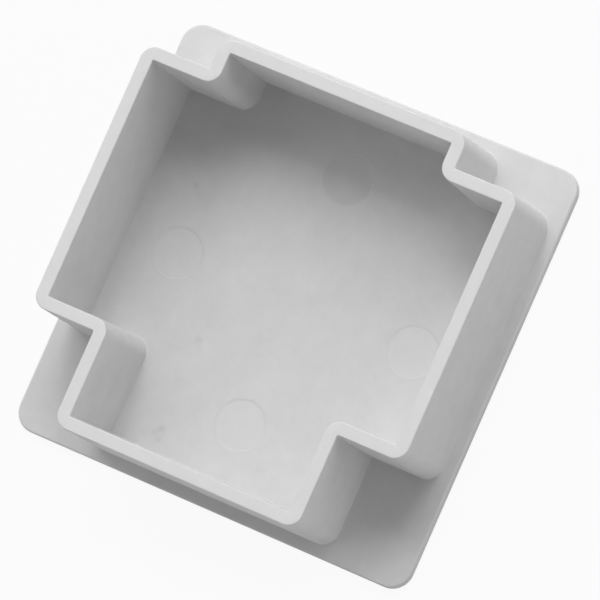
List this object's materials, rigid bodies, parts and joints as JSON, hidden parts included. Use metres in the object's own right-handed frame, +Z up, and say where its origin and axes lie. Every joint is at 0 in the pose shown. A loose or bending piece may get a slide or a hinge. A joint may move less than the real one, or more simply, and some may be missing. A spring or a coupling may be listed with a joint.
{
  "type": "duct end cap",
  "caption": "Square moulded end cap for a wiring duct: a flat plate with rounded corners and a hollow open spigot, notched at its corners, that plugs into the duct.",
  "frame": {"origin": "centre of the plate's outer face, which the cap rests on", "axes": "+Z up the spigot, the way it plugs into the duct; +Y towards the side with the shallow notches; X across"},
  "size_m": [0.06, 0.06, 0.0181],
  "materials": {
    "cap_plastic": "light grey moulded plastic, fine satin"
  },
  "bodies": {
    "root": {"end_cap": "cap_plastic"}
  },
  "joints": []
}
